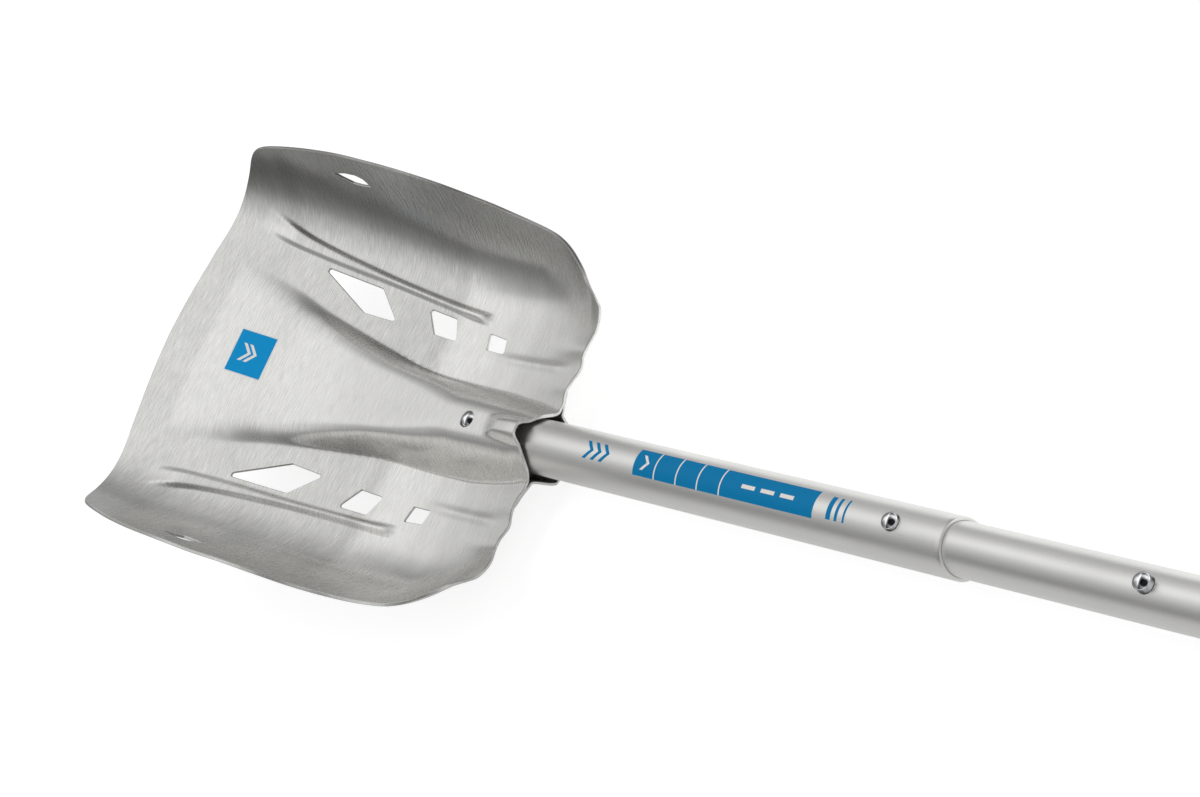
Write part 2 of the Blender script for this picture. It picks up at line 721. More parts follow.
# half width and height of the rim
RIM_Y = [-310, -290, -274, -262, -242, -221, -200, -173, -146, -122, -100, -85, -70, -54,
         -36, -28, -20, -13, -7, -3, 1, 7, 14]
RIM_X = pchip(RIM_Y, [112, 116, 119.4, 122, 125.1, 126.5, 127, 127.2, 126.5, 125.9, 124.9,
                      123.8, 122.2, 120.1, 116.8, 114, 109.8, 105, 99.9, 94.9, 90.2, 85, 78])
RIM_Z = pchip(RIM_Y, [82, 81.5, 81, 81, 78.6, 76.5, 74.5, 68.4, 62.7, 54.8, 45.8, 40.6, 35.5,
                      31.4, 28.3, 26.8, 25.2, 24.1, 22.1, 19.5, 16.2, 12.5, 9])
# side wall: where it leaves the floor, and the power of its sweep up to the rim
WALL_FOOT = pchip([-310, -60, -30, 0, 14], [60, 60, 56, 48, 44])
WALL_POWER = pchip([-310, -60, 0, 14], [3.5, 3.5, 2.6, 2.2])
# central ridge: crest height and half width at its foot
RIDGE_Z = pchip([-320, -275, -250, -230, -206, -182, -146, -113, -87, 20],
                [62.8, 47.9, 42.3, 37.3, 31, 26.3, 22.8, 21.7, 21.6, 21.6])
RIDGE_FOOT = pchip([-320, -275, -230, -205, -178, -150, -125, -105, -88, -60, -34, -12, 0, 20],
                   [64, 60, 53, 46, 40, 34.5, 30.5, 29.5, 29.5, 29.5, 27.5, 25.0, 23, 23])
# raised side ribs: outer and inner edges
RIB_OUTER = pchip([-275, -266, -232, -194, -146, -100, -88], [99, 96.5, 87.5, 82, 77, 74.5, 74])
RIB_INNER = pchip([-262, -256, -210, -163, -102, -92], [78.5, 77.5, 73.2, 70.5, 65.4, 64.6])
RIB_HEIGHT, RIB_SLOPE = 2.6, 4.2
CREASE_X, CREASE_WIDTH = 48.5, 3.2
# two grooves on each side near the socket: x, depth, width
GROOVES = ((62, 1.6, 5.5), (38, 1.0, 6))
CREST_HEIGHT = 5.8


def blade_z(x, y, with_ridge=True):
    """Height of the blade's front face."""
    across = np.abs(np.asarray(x, float))
    y = np.asarray(y, float)
    floor, foot = FLOOR(y), WALL_FOOT(y)
    up_wall = np.clip((across - foot) / (RIM_X(y) - foot), 1e-9, None)
    z = floor + up_wall ** WALL_POWER(y) * (RIM_Z(y) - floor)
    if with_ridge:
        power = 2 + 2.6 * (1 - fade(y, -130, 70))
        z = z + np.maximum(RIDGE_Z(y) - floor, 0) * (1 - smooth((across / RIDGE_FOOT(y)) ** power))
    outer, inner = RIB_OUTER(y), RIB_INNER(y)
    slope = np.minimum(RIB_SLOPE, (outer - inner) * 0.5)
    height = RIB_HEIGHT * fade(y, -272, 28) * (1 - fade(y, -106, 16))
    z = z + height * smooth((outer - across) / slope) * smooth((across - inner) / slope)
    # low crease beside the socket, 1 mm high
    z = z + fade(y, -95, 40) * bell(across, CREASE_X, CREASE_WIDTH) * (1 - fade(y, -25, 22))
    (x1, depth1, width1), (x2, depth2, width2) = GROOVES
    z = z + fade(y, -45, 50) * (-depth1 * bell(across, x1, width1)
                                - depth2 * bell(across, x2, width2))
    if with_ridge:
        # narrow crest on the ridge at the socket mouth
        rise = fade(y, -30, 15) * (0.62 + 0.38 * fade(y, -26, 26))
        half_width = 7.4 + 1.6 * fade(y, -30, 30)
        z = z + CREST_HEIGHT * rise * (1 - smooth((across / half_width) ** 2))
    return z


# ---------------------------------------------------------------------------- blade
BLADE_THICK = 1.95
# half outlines at x >= 0, as (x, y): leading edge from the centre, rear edge to the centre
LEADING_EDGE = [
    (0, -301.2), (20, -300.4), (35, -299.2), (50, -297.6), (63, -296.2), (86, -292.3),
    (96, -289.4), (104, -285.6), (110, -281.4), (115, -277), (118.2, -272.8),
    (120.2, -268.8), (121.2, -265.5)]
REAR_EDGE = [
    (85.1, 6.2), (83.6, 7.3), (80, 7.5), (75, 6.6), (71, 4.8), (67, 1.2), (63.5, -2.2),
    (61, -3.1), (58, -2.4), (54, 0.2), (50, 1.8), (46.5, 0.9), (43, -1.4), (39, -3.4),
    (35, -3.4), (31, -1.7), (27, 0.6), (24.5, 0.2), (22, 0.9), (20, 2.9), (18, 5.0),
    (15, 6.4), (11.5, 6.0), (8.5, 4.5), (6, 3.5), (3, 2.7), (0, 2.3)]
# floor cut-outs at x > 0: corners as (x, y), corner radius
CUTOUTS = [
    ([(71.9, -223.5), (69.4, -176.1), (51.4, -157.3), (50.9, -181.2)], 1.7),
    ([(66.5, -141.4), (65.3, -120.6), (51.3, -114.3), (51.5, -131.0)], 1.8),
    ([(62.1, -93.1), (60.5, -77.4), (50.9, -74.5), (51.1, -89.9)], 1.5)]
# slot in each side wall, as (y, z)
WALL_SLOT = [(-211.5, 61.4), (-200, 61.4), (-191.7, 59.8), (-186.5, 56.9), (-182.6, 51.4),
             (-190, 52.6), (-197, 54.5), (-204.5, 57.9)]
BLADE_HOLE_R = 5.25
# mesh spacing: along the outline, between rows, between columns
EDGE_STEP, ROW_STEP, COLUMN_STEP = ((1.3, 1.9, 2.0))
# table of arc lengths across the front: its first row, row spacing and columns
ARC_START, ARC_STEP, ARC_COLUMNS = -320, 4.0, 400


def wall_x(y, z):
    """Half width of the side wall at a height."""
    floor = FLOOR(y)
    share = ((z - floor) / (RIM_Z(y) - floor)) ** (1 / WALL_POWER(y))
    return WALL_FOOT(y) + share * (RIM_X(y) - WALL_FOOT(y))


def blade_outline(step):
    rim_y = np.linspace(-263.5, 3.0, 400)
    rim = np.stack([RIM_X(rim_y), rim_y], 1)
    along = running_sum(np.linalg.norm(np.diff(np.c_[rim, RIM_Z(rim_y)], axis=0), axis=1))
    spaced = np.linspace(0, along[-1], int(along[-1] / step))
    rim = np.stack([np.interp(spaced, along, rim[:, k]) for k in range(2)], 1)
    right = np.vstack([catmull(LEADING_EDGE, step), rim[1:], catmull(REAR_EDGE, step * 0.8)])
    gaps = np.linalg.norm(np.diff(right, axis=0), axis=1)
    right = right[np.concatenate([[True], gaps > 0.25])]
    return np.vstack([right, right[1:-1][::-1] * MIRROR])


def arc_table():
    """Arc length from the centre line, by row along y and share of the half width."""
    rows = []
    for y in np.arange(ARC_START, 21, ARC_STEP):
        x = RIM_X(y) * np.linspace(0, 1, ARC_COLUMNS)
        z = blade_z(x, np.full_like(x, y))
        rows.append(running_sum(np.hypot(np.diff(x), np.diff(z))))
    return np.array(rows)


ARC = arc_table()


def blade_uv(points):
    """u is the length across the sheet, so brushed lines follow its shape; v is y."""
    x, y = points[:, 0], points[:, 1]
    column = np.clip(np.abs(x) / RIM_X(y), 0, 1) * (ARC_COLUMNS - 1)
    line = np.clip((y - ARC_START) / ARC_STEP, 0, len(ARC) - 1.001)
    i, j = np.minimum(column.astype(int), ARC_COLUMNS - 2), line.astype(int)
    part_i, part_j = column - i, line - j
    length = ((ARC[j, i] * (1 - part_i) + ARC[j, i + 1] * part_i) * (1 - part_j)
              + (ARC[j + 1, i] * (1 - part_i) + ARC[j + 1, i + 1] * part_i) * part_j)
    return np.stack([np.sign(x) * length / 1000, y / 1000], 1)


def blade_interior(row_step, column_step):
    points = []
    for k, y in enumerate(np.arange(-300.5, 7.6, row_step)):
        fine_x = np.linspace(0, float(RIM_X(y)), 600)
        slope = np.gradient(blade_z(fine_x, np.full_like(fine_x, y)), fine_x)
        # closer columns where the section bends
        bend = np.abs(np.gradient(np.arctan(slope), fine_x))
        density = np.hypot(1, slope) / column_step * (1 + np.clip(bend * 5.0, 0, 1.4))
        along = running_sum((density[1:] + density[:-1]) / 2 * np.diff(fine_x))
        # alternate rows are staggered by half a column
        for x in np.interp(np.arange(0.5 * (k % 2), int(along[-1]), 1.0), along, fine_x):
            points.append((x, y))
            if x > 0.01:
                points.append((-x, y))
    return np.array(points)


def build_blade():
    loops = [blade_outline(EDGE_STEP)]
    for corners, radius in CUTOUTS:
        hole = rounded(corners, radius, 0.8)
        loops += [hole, hole * MIRROR]
    loops.append(circle(0.0, BLADE_BUTTON_Y, BLADE_HOLE_R, 40))
    slot_y, slot_z = resample(np.array(WALL_SLOT), 0.6, True).T
    slot = np.stack([wall_x(slot_y, slot_z), slot_y], 1)
    loops += [slot, slot * MIRROR]
    verts, faces, uvs = sheet_mesh(loops, blade_interior(ROW_STEP, COLUMN_STEP),
                                   height_surface(blade_z), BLADE_THICK, blade_uv, chamfer=0.32)
    obj = new_mesh("pressed_blade", verts, faces, 32.0, uvs)
    finish_piece(obj, BLADE_METAL, "blade_assembly", "blade_aluminium", "blade")


build_blade()

# ---------------------------------------------------------------------------- socket plate
PLATE_THICK, PLATE_GAP, PLATE_BOTTOM = 1.5, 0.15, -19.75
PLATE_CORNERS = [(-38.5, -103), (38.5, -103), (38.5, -6.5), (22.5, 1.6), (-22.5, 1.6),
                 (-38.5, -6.5)]
# half widths where the channel's side meets its bottom and where it meets the flange
CHANNEL_INNER = pchip([-106, -60, -12, 4], [10, 12.5, 12.5, 12.5])
CHANNEL_OUTER = pchip([-106, -60, -12, 4], [24, 26, 23, 21.5])


def under(x, y, gap):
    """Height at a gap behind the blade's back face, leaving out the ridge."""
    slope_x = (blade_z(x + 0.05, y, False) - blade_z(x - 0.05, y, False)) / 0.1
    slope_y = (blade_z(x, y + 0.5, False) - blade_z(x, y - 0.5, False)) / 1.0
    return blade_z(x, y, False) - (2.0 + gap) * np.sqrt(1 + slope_x**2 + slope_y**2)


def plate_z(x, y):
    """Flat flanges against the blade, with a channel sunk between them."""
    x = np.asarray(x, float)
    y = np.asarray(y, float)
    flange = under(x, y, PLATE_GAP)
    depth = (flange - PLATE_BOTTOM) * fade(y, -108, 20)
    inner, outer = CHANNEL_INNER(y), CHANNEL_OUTER(y)
    return flange - depth * (1 - smooth((np.abs(x) - inner) / (outer - inner)))


def build_plate():
    grid_y, grid_x = np.meshgrid(np.arange(-102, 1.6, 2.0), np.arange(-38, 38.1, 1.5),
                                 indexing="ij")
    verts, faces, uvs = sheet_mesh(
        [rounded(PLATE_CORNERS, 5.5, 1.2)], np.stack([grid_x.ravel(), grid_y.ravel()], 1),
        height_surface(plate_z), PLATE_THICK, flat_uv, chamfer=0.28)
    obj = new_mesh("socket_plate", verts, faces, 32.0, uvs)
    metal = metal_material("plate_aluminium", (0.76, 0.755, 0.74), smoothest=0.30,
                           roughest=0.42, scale=1500.0, bump=0.00003, streak=(0.05, 1.6, 1.0))
    finish_piece(obj, metal, "blade_assembly", "blade_aluminium", "socket_back_plate")


BEAD_START, BEAD_END, BEAD_X = -97.0, -9.0, 39.15
BEAD_R, BEAD_PITCH, BEAD_SEGMENTS = 1.55, 2.6, 9


def weld_bead(name, side, node):
    """Bead of overlapping ripples in the corner between plate edge and blade."""
    rings = []
    for y in np.arange(BEAD_START, BEAD_END, 0.35):
        swell = math.sin(math.pi * ((y % BEAD_PITCH) / BEAD_PITCH))
        radius = BEAD_R + 0.22 * swell + 0.08 * math.sin(y * 0.9)
        # rounded off over the last 2 mm at each end
        taper = min((y - BEAD_START) / 2.0, (BEAD_END - y) / 2.0, 1.0)
        radius *= max(0.05, math.sqrt(max(taper, 0.0)))
        centre_z = float(under(np.array([BEAD_X]), np.array([y]), 0.0)[0]) - 0.15
        ring = []
        for k in range(BEAD_SEGMENTS):
            turn = math.pi * 2 * k / BEAD_SEGMENTS
            ring.append((side * (BEAD_X + radius * 1.15 * math.cos(turn)),
                         y + 0.5 * swell * math.cos(turn),
                         min(centre_z + radius * 0.8 * math.sin(turn), centre_z + 0.1)))
        rings.append(ring)
    verts, faces = skin(rings)
    obj = new_mesh(name, verts, faces, 60.0, flat_uv(verts[:, :2]))
    finish_piece(obj, WELD, "blade_assembly", "weld_aluminium", node)


build_plate()
weld_bead("bead_right", 1, "weld_right")
weld_bead("bead_left", -1, "weld_left")

# ---------------------------------------------------------------------------- tubes
TUBE_SEGMENTS, TUBE_ROW_STEP, TUBE_END_CHAMFER = 144, 3.0, 0.35
TUBE_HOLE_R = 5.1


def oval_surface(rx, rz, buttons):
    """Girth of an oval tube, and place and normal functions on its unrolled surface."""
    turns = np.linspace(-math.pi, math.pi, 2001)
    along = running_sum(np.hypot(np.diff(rx * np.sin(turns)), np.diff(rz * np.cos(turns))))
    girth = along[-1]

    def turn_at(points):
        return np.interp(points[:, 0], along - girth / 2, turns)

    def place(points):
        turn = turn_at(points)
        return np.stack([rx * np.sin(turn), points[:, 1], rz * np.cos(turn)], 1)

    def normal(points):
        turn = turn_at(points)
        result = np.stack([np.sin(turn) / rx, np.zeros(len(turn)), np.cos(turn) / rz], 1)
        result = result / np.linalg.norm(result, axis=1, keepdims=True)
        # a button hole goes straight through: round it the wall is laid off along z
        for y in buttons:
            distance = np.hypot(points[:, 0], points[:, 1] - y)
            share = (1 - fade(distance, TUBE_HOLE_R * 1.05, TUBE_HOLE_R * 0.75))[:, None]
            straight = np.zeros_like(result)
            straight[:, 2] = 1 / np.maximum(result[:, 2], 0.5)
            result = result * (1 - share) + straight * share
        return result

    return girth, place, normal


def build_tube(name, rx, rz, wall, start, end, buttons, side_holes, material, body, node):
    """Oval tube from y = start to end; side_holes are (y, radius), cut on both sides."""
    start, end = start + TUBE_END_CHAMFER, end - TUBE_END_CHAMFER
    girth, place, normal = oval_surface(rx, rz, buttons)
    round_steps = np.linspace(-girth / 2, girth / 2, TUBE_SEGMENTS + 1)
    rows = np.linspace(start, end, int((end - start) / TUBE_ROW_STEP) + 1)
    loops = [np.array([(v, start) for v in round_steps]
                      + [(girth / 2, v) for v in rows[1:-1]]
                      + [(v, end) for v in round_steps[::-1]]
                      + [(-girth / 2, v) for v in rows[-2:0:-1]])]
    loops += [circle(0.0, y, TUBE_HOLE_R, 44) for y in buttons]
    loops += [circle(side * girth / 4, y, radius, 28)
              for y, radius in side_holes for side in (-1, 1)]
    # a regular grid, with rings of points in its place round each button hole
    grid_y, grid_x = np.meshgrid(rows[1:-1], round_steps[1:-1], indexing="ij")
    points = np.stack([grid_x.ravel(), grid_y.ravel()], 1)
    for y in buttons:
        points = points[np.hypot(points[:, 0], points[:, 1] - y) > TUBE_HOLE_R * 1.95]
    points = np.vstack([points] + [circle(0.0, y, TUBE_HOLE_R * share, 44)
                                   for y in buttons for share in (1.15, 1.4, 1.8)])
    verts, faces, uvs = sheet_mesh(loops, points, (place, normal), wall, flat_uv,
                                   chamfer=0.22, open_outline=True)
    base = len(verts)
    verts, uvs = [verts], [uvs]
    # lip at each end: distance into the wall, distance along y
    cut = TUBE_END_CHAMFER
    profile = [(0.0, 0.0), (cut * 0.3, cut * 0.7), (cut, cut), (wall - cut, cut),
               (wall - cut * 0.3, cut * 0.7), (wall, 0.0)]
    count = len(round_steps)
    for y, way in ((start, -1), (end, 1)):
        flat = np.stack([round_steps, np.full_like(round_steps, y)], 1)
        edge, inward = place(flat), normal(flat)
        for depth, along in profile:
            verts.append(edge - inward * depth + np.array([0, way, 0.0]) * along)
            uvs.append(flat_uv(flat))
        for k in range(len(profile) - 1):
            for i in range(count - 1):
                a = base + k * count + i
                b = a + 1
                faces.append((a, b, b + count, a + count) if way < 0
                             else (b, a, a + count, b + count))
        base += count * len(profile)
    obj = new_mesh(name, np.vstack(verts), faces, 40.0, np.vstack(uvs))
    tidy(obj.data, 35, merge=2e-6)
    finish_piece(obj, material, body, "tube_aluminium", node)


build_tube("lower_oval_tube", rx=15.75, rz=19.25, wall=1.9, start=-80.0, end=314.4,
           buttons=(BLADE_BUTTON_Y, MID_BUTTON_Y), side_holes=(),
           material=PRINTED_TUBE, body="lower_shaft", node="lower_tube")
build_tube("upper_oval_tube", rx=UPPER_RX, rz=UPPER_RZ, wall=1.5, start=247.0, end=508.0,
           buttons=(MID_BUTTON_Y, UPPER_BUTTON_Y), side_holes=((RIVET_Y, 2.45),),
           material=PLAIN_TUBE, body="upper_shaft", node="upper_tube")

# ---------------------------------------------------------------------------- snap buttons
DOME_R, STEM_R, BUTTON_TOP = 5.32, 4.66, 23.85


def lathe(profile, centre_y, segments=64):
    """Solid turned about a z axis; profile is (radius, z), from axis to axis."""
    verts, faces, rings = [], [], []
    for radius, z in profile:
        start = len(verts)
        if radius < 1e-6:
            rings.append([start])
            verts.append((0.0, centre_y, z))
        else:
            rings.append(list(range(start, start + segments)))
            for k in range(segments):
                turn = 2 * math.pi * k / segments
                verts.append((radius * math.cos(turn), centre_y + radius * math.sin(turn), z))
    for lower, upper in zip(rings[:-1], rings[1:]):
        for k in range(segments):
            j = (k + 1) % segments
            if len(lower) == 1:
                faces.append((lower[0], upper[j], upper[k]))
            elif len(upper) == 1:
                faces.append((lower[k], lower[j], upper[0]))
            else:
                faces.append((lower[k], lower[j], upper[j], upper[k]))
    return verts, faces


def button(name, y, base, flange, body, node):
    """Flange at height base, straight stem and domed top."""
    centre_z = BUTTON_TOP - DOME_R
    shoulder = centre_z + math.sqrt(DOME_R * DOME_R - STEM_R * STEM_R)
    profile = [(0, base + 1.2), (2.2, base + 1.2), (2.5, base + 0.9), (2.5, base + 0.15),
               (2.7, base), (flange - 0.2, base), (flange, base + 0.2), (flange, base + 0.8),
               (flange - 0.2, base + 1.0), (4.70, base + 1.05), (STEM_R, base + 1.3)]
    profile += [(STEM_R, z) for z in np.linspace(base + 2.0, shoulder - 0.4, 5)]
    for turn in np.linspace(math.acos(STEM_R / DOME_R), math.pi / 2, 16)[:-1]:
        profile.append((DOME_R * math.cos(turn), centre_z + DOME_R * math.sin(turn)))
    profile.append((0, BUTTON_TOP))
    verts, faces = lathe(profile, y)
    obj = new_mesh(name, verts, faces, 38.0)
    finish_piece(obj, CHROME, body, "button_chrome", node)


def leaf(name, y, top, bottom, way, body, node):
    """Bent strip spring: upper arm at top, lower arm at bottom, joined by a round bend.

    way is the direction of the bend along y.
    """
    upper_end, lower_end = top - 7.5, bottom + 5.5
    # side view as (distance from the button along y, z)
    path = [(-7, top), (7, top), (12, top - 1.2), (28, upper_end)]
    middle = (upper_end + bottom + 5.5) / 2
    radius = (upper_end - bottom - 5.5) / 2
    for angle in np.linspace(70, -70, 15):
        turn = math.radians(angle)
        path.append((29 + radius * math.cos(turn), middle + radius * math.sin(turn)))
    path += [(28, lower_end), (12, bottom + 1.0), (4, bottom), (-3, bottom), (-6, bottom + 0.8)]
    path = resample(np.array(path), 1.0)
    heading = np.gradient(path, axis=0)
    heading /= np.linalg.norm(heading, axis=1, keepdims=True)
    normals = np.stack([-heading[:, 1], heading[:, 0]], 1)
    thick, wide, cut = 0.3, 4.0, 0.12  # half thickness, half width and corner chamfer
    section = [(-wide, thick - cut), (-wide + cut, thick), (wide - cut, thick),
               (wide, thick - cut), (wide, -thick + cut), (wide - cut, -thick),
               (-wide + cut, -thick), (-wide, -thick + cut)]
    verts, faces = skin([[(x, y + way * (point[0] + normal[0] * out), point[1] + normal[1] * out)
                          for x, out in section] for point, normal in zip(path, normals)])
    obj = new_mesh(name, verts, faces, 35.0)
    finish_piece(obj, SPRING, body, "spring_steel", node)
    tuple(to_scene((0, y, bottom - thick)))
    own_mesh(obj)


button("dome_blade", BLADE_BUTTON_Y, 14.0, 6.4, "blade_button_body", "blade_button")
button("dome_mid", MID_BUTTON_Y, 12.5, 6.0, "mid_button_body", "mid_button")
button("dome_upper", UPPER_BUTTON_Y, 12.5, 6.0, "upper_button_body", "upper_button")

leaf("leaf_blade", BLADE_BUTTON_Y, 13.6, -16.0, 1, "lower_shaft", "blade_spring")
leaf("leaf_mid", MID_BUTTON_Y, 12.1, -14.3, 1, "upper_shaft", "mid_spring")
leaf("leaf_upper", UPPER_BUTTON_Y, 12.1, -14.3, -1, "upper_shaft", "upper_spring")

# plugs hidden inside the shaft keep their CAD shape
for plug in ("lower_tube_plug", "guide_plug"):
    set_material(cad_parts[plug], PLUG)

# ---------------------------------------------------------------------------- T-grip
# half depth of the bar along y and z, and the sleeves' thickness over the core
BAR_RY, BAR_RZ, SLEEVE_THICK = 12.5, 15.5, 2.6
VOXEL = 0.00055
SOCKET_GAP = 0.05
STEM_Y = [474, 488, 500, 512, 526]
STEM_RX = pchip(STEM_Y, [16.3, 17.0, 18.6, 20.8, 22.9])
STEM_RZ = pchip(STEM_Y, [19.6, 20.0, 19.6, 18.0, 15.6])
SLEEVE_START, SLEEVE_END = 23.15, 59.9
# swell of the sleeve over the bar, by distance from the middle
SLEEVE_SWELL = pchip([23.1, 32, 46, 60], [0.9, 1.1, 0.5, 0.0])


def stem_ring(y, rx, rz):
    turn = np.linspace(0, 2 * math.pi, 96, endpoint=False)
    return np.stack([rx * np.sin(turn), np.full(96, y), rz * np.cos(turn)], 1)


def bar_ring(x, ry, rz, count=96):
    turn = np.linspace(0, 2 * math.pi, count, endpoint=False)
    return np.stack([np.full(count, x), GRIP_Y + ry * np.sin(turn), rz * np.cos(turn)], 1)


def apply_modifiers(obj):
    evaluated = obj.evaluated_get(bpy.context.evaluated_depsgraph_get())
    mesh = bpy.data.meshes.new_from_object(evaluated)
    obj.modifiers.clear()
    old = obj.data
    obj.data = mesh
    bpy.data.meshes.remove(old)


def joined(name, parts):
    """One object from several (vertices, faces) parts."""
    verts, faces, base = [], [], 0
    for part_verts, part_faces in parts:
        verts.append(part_verts)
        faces += [tuple(i + base for i in face) for face in part_faces]
        base += len(part_verts)
    return new_mesh(name, np.vstack(verts), faces, 180.0)


def grip_cutters():
    """Tools for the tube socket, the lanyard hole along z and the rivet holes along x."""
    socket_rx, socket_rz = UPPER_RX + SOCKET_GAP, UPPER_RZ + SOCKET_GAP
    socket = [stem_ring(y, socket_rx + flare, socket_rz + flare)
              for y, flare in ((472.0, 0.9), (474.1, 0.9), (475.0, 0.0), (508.5, 0.0))]
    # (radius, z)
    lanyard_profile = [(7.0, -30), (6.4, -15.6), (6.0, -15.0), (4.1, -15.0), (3.5, -14.4),
                       (3.5, 14.4), (4.1, 15.0), (6.0, 15.0), (6.4, 15.6), (7.0, 30)]
    lanyard = [np.c_[circle(0.0, LANYARD_Y, radius, 64), np.full(64, z)]
               for radius, z in lanyard_profile]
    # (radius, distance from the middle)
    rivet_profile = [(5.1, 24), (4.9, 17.6), (4.7, 16.9), (2.5, 16.9), (2.46, 0.5)]
    tools = [("cut_socket", socket), ("cut_lanyard", lanyard)]
    for name, side in (("cut_rivet_a", 1), ("cut_rivet_b", -1)):
        tools.append((name, [np.c_[np.full(48, side * x), circle(RIVET_Y, 0.0, radius, 48)]
                             for radius, x in rivet_profile]))
    return [new_mesh(name, *skin(rings), 180.0) for name, rings in tools]


def grip_moulding():
    """Stem and bar blended into one moulding, then the holes are cut."""
    stem = [stem_ring(474.0, 15.9, 19.2), stem_ring(474.15, 16.15, 19.45)]
    stem += [stem_ring(y, float(STEM_RX(y)) + 0.15, float(STEM_RZ(y)) + 0.1)
             for y in np.arange(474.6, 528.1, 1.6)]
    bar = [(-22.9, 13.0, 15.7), (-22.6, 13.3, 16.0)]
    bar += [(x, 13.55, 16.2) for x in np.arange(-22, 22.1, 2.0)]
    bar += [(22.6, 13.3, 16.0), (22.9, 13.0, 15.7)]
    core = joined("grip_moulding", [skin(stem), skin([bar_ring(*station) for station in bar])])
    remesh = core.modifiers.new("r", "REMESH")
    remesh.mode = "VOXEL"
    remesh.voxel_size = VOXEL
    remesh.use_smooth_shade = True
    soften = core.modifiers.new("s", "SMOOTH")
    soften.factor = 0.5
    soften.iterations = 14
    apply_modifiers(core)
    cutters = grip_cutters()
    for cutter in cutters:
        cut = core.modifiers.new(cutter.name, "BOOLEAN")
        cut.operation = "DIFFERENCE"
        cut.solver = "EXACT"
        cut.object = cutter
    apply_modifiers(core)
    for cutter in cutters:
        bpy.data.objects.remove(cutter)
    return core


def grip_rods():
    """Plain rods of the core that run on inside the sleeves."""
    outer_y, outer_z = (r - SLEEVE_THICK - 0.02 for r in (BAR_RY, BAR_RZ))
    inner_y, inner_z = (r - SLEEVE_THICK - 2.2 for r in (BAR_RY, BAR_RZ))
    # (distance from the middle, half depth along y, half depth along z)
    profile = [(21.0, 0.5, 0.5), (21.0, outer_y, outer_z), (59.6, outer_y, outer_z),
               (59.95, outer_y - 0.3, outer_z - 0.3), (59.95, inner_y + 0.3, inner_z + 0.3),
               (59.6, inner_y, inner_z), (27.0, inner_y, inner_z),
               (26.0, inner_y - 1, inner_z - 1)]
    return joined("grip_bar_core", [skin([bar_ring(side * x, ry, rz, 72)
                                          for x, ry, rz in profile]) for side in (-1, 1)])


def grip_sleeve(name, side, node):
    """Soft sleeve with rounded shoulders and shallow finger grooves."""
    count = 144
    bore_y, bore_z = (r - SLEEVE_THICK + 0.05 for r in (BAR_RY, BAR_RZ))
    stations = [(SLEEVE_START, bore_y, bore_z)]
    for offset, drop in ((0.0, 1.1), (0.0, 0.55), (0.18, 0.2), (0.5, 0.0)):
        swell = float(SLEEVE_SWELL(SLEEVE_START)) - drop
        stations.append((SLEEVE_START + offset, BAR_RY + swell, BAR_RZ + swell * 0.7))
    for x in np.arange(24.0, 59.41, 0.3):
        groove = 0.0
        for centre in np.arange(28.5, 57.0, 3.4):
            groove += math.exp(-((x - centre) / 0.62) ** 2)
        swell = float(SLEEVE_SWELL(x)) - 0.55 * groove
        stations.append((x, BAR_RY + swell, BAR_RZ + swell * 0.8))
    for x, drop in ((59.6, 0.12), (59.8, 0.4), (SLEEVE_END, 0.9)):
        stations.append((x, BAR_RY - drop, BAR_RZ - drop))
    stations.append((SLEEVE_END, bore_y, bore_z))
    verts, faces = skin([bar_ring(side * x, ry, rz, count) for x, ry, rz in stations], False)
    # the bore closes the last ring back to the first
    last = (len(stations) - 1) * count
    faces += [(last + i, last + (i + 1) % count, (i + 1) % count, i) for i in range(count)]
    obj = new_mesh(name, verts, faces, 50.0)
    finish_piece(obj, SOFT, "upper_shaft", "grip_soft", node)


def build_grip():
    core, rods = grip_moulding(), grip_rods()
    for obj in (core, rods):
        tidy(obj.data, 34, merge=1e-6, dissolve=1e-6)
    finish_piece(core, GRIP, "upper_shaft", "grip_plastic", "grip_core")
    finish_piece(rods, GRIP, "upper_shaft", "grip_plastic")
    for name, side in (("right", 1), ("left", -1)):
        grip_sleeve("sleeve_" + name, side, "grip_sleeve_" + name)
    for node, material in (("grip_cap_left", GRIP), ("grip_cap_right", GRIP),
                           ("grip_rivet", RIVET)):
        set_material(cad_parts[node], material)


build_grip()


# ---------------------------------------------------------------------------- stage
def build_floor(half=14.0):
    mesh = bpy.data.meshes.new("floor")
    mesh.from_pydata([(-half, -half, 0), (half, -half, 0), (half, half, 0), (-half, half, 0)],
                     [], [(0, 1, 2, 3)])
    floor = bpy.data.objects.new("floor", mesh)
    bpy.context.scene.collection.objects.link(floor)
    mesh.materials.append(floor_material())
    floor.location.z = -0.0006


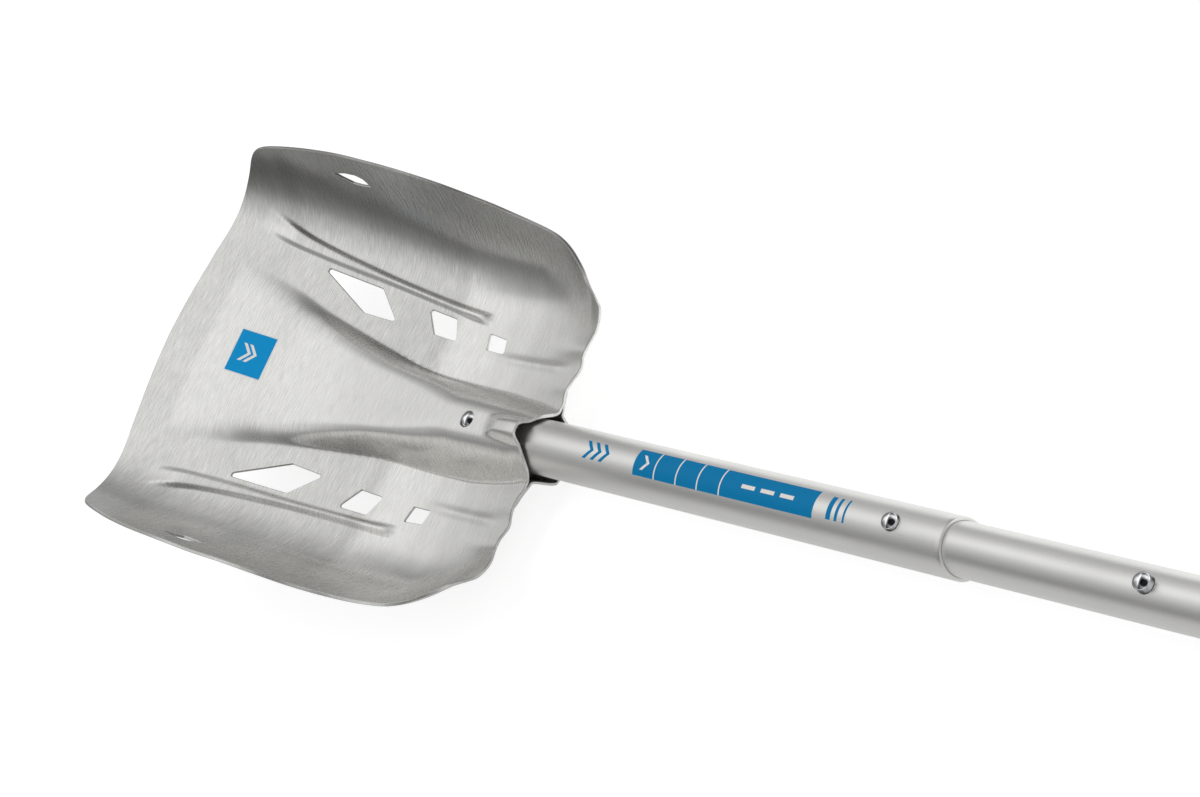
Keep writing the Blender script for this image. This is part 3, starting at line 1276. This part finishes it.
def studio_light(sky):
    """A wide soft band over the blade side, dimmer to the sides and past the zenith."""
    def curve(value, *stops):
        """Eased brightness curve; stops are (value, brightness)."""
        low, high = stops[0][0], stops[-1][0]
        ramp = sky.node("ValToRGB", {0: sky.remap(value, low, high)})
        ramp.color_ramp.interpolation = "EASE"
        fill_ramp(ramp.color_ramp, [((at - low) / (high - low), (v, v, v)) for at, v in stops])
        return sky.node("RGBToBW", {0: ramp.outputs[0]}).outputs[0]

    x, y, z = sky.split(sky.coords("Generated"))
    # degrees up from the horizon on the blade side, over the top
    angle = sky.multiply(sky.math("ARCTAN2", z, sky.multiply(y, -1.0)), 180 / math.pi)
    rise = curve(angle, (-45, 0.18), (-20, 0.24), (-8, 0.36), (2, 0.52), (18, 0.60), (36, 0.74),
                 (52, 0.90), (64, 0.94), (76, 0.92), (90, 0.90), (150, 0.60), (180, 0.50))
    low = curve(x, (-1.0, 0.72), (-0.75, 0.84), (-0.57, 0.70), (-0.40, 0.80), (-0.25, 1.0),
                (0.0, 1.0), (0.12, 0.90), (0.27, 0.60), (0.42, 0.56), (0.73, 0.56), (1.0, 0.50))
    # two dimmer patches low down, one to each side
    dip = sky.multiply(
        curve(angle, (-20, 1.0), (14, 1.0), (38, 0.0), (60, 0.0)),
        curve(x, (-1.0, 0.0), (-0.80, 0.05), (-0.57, 0.32), (-0.35, 0.15), (-0.15, 0.0),
              (0.15, 0.0), (0.30, 0.12), (0.60, 0.26), (1.0, 0.1)))
    low = sky.multiply(low, sky.subtract(1.0, dip))
    high = curve(x, (-1.0, 0.6), (-0.62, 0.97), (0.0, 1.0), (0.62, 0.97), (1.0, 0.6))
    side = sky.weighted((low, curve(angle, (0, 1.0), (45, 1.0), (66, 0.0), (90, 0.0))),
                        (high, curve(angle, (0, 0.0), (45, 0.0), (66, 1.0), (90, 1.0))))
    # how far a direction leans towards the blade's tip; the band ends short of overhead
    side_bend = 0.32
    lean = sky.subtract(sky.multiply(y, -1.0), sky.multiply(sky.multiply(x, x), side_bend))
    cut = curve(lean, (-1.0, 1.0), (-0.62, 0.95), (-0.42, 0.55), (-0.2, 0.24), (0.13, 0.22),
                (0.25, 1.0), (1.0, 1.0))
    contrast, gain = 1.28, 1.14
    light = sky.multiply(sky.multiply(rise, side), cut)
    return sky.multiply(sky.math("POWER", light, contrast), gain)


def build_world():
    """The studio for light and reflections; the camera sees a plain pale backdrop."""
    world = bpy.data.worlds.new("studio")
    bpy.context.scene.world = world
    world.use_nodes = True
    sky = Tree(world.node_tree)
    light = studio_light(sky)
    rays = sky.node("LightPath").outputs
    light = sky.multiply(light, sky.add_scaled(1.0, rays["Is Diffuse Ray"], amount=0.9))
    studio = sky.node("Background", {0: light})
    plain = sky.node("Background", {0: (0.95, 0.95, 0.95, 1)})
    mixed = sky.node("MixShader", {0: rays["Is Camera Ray"], 1: studio.outputs[0],
                                   2: plain.outputs[0]})
    sky.node("OutputWorld", {0: mixed.outputs[0]})


# camera place and axes in the working frame
CAMERA_PLACE = (286.2047355, 1252.39571, 1105.1892715)
CAMERA_RIGHT = (-0.4054237, 0.6686533, -0.6233253)
CAMERA_UP = (-0.8939157, -0.1473954, 0.4233075)
CAMERA_BACK = (0.1911707, 0.7288192, 0.6574773)


def build_camera():
    lens = bpy.data.cameras.new("camera")
    lens.lens = 90.0
    lens.sensor_width = 36.0
    lens.clip_end = 100.0
    camera = bpy.data.objects.new("camera", lens)
    bpy.context.scene.collection.objects.link(camera)
    pose = np.eye(4)
    pose[:3] = np.column_stack([CAMERA_RIGHT, CAMERA_UP, CAMERA_BACK, to_scene(CAMERA_PLACE)])
    camera.matrix_world = Matrix([list(line) for line in pose])
    bpy.context.scene.camera = camera


build_floor()
build_world()
build_camera()
bpy.context.scene.view_settings.view_transform = "Standard"
bpy.context.scene.view_settings.look = "None"
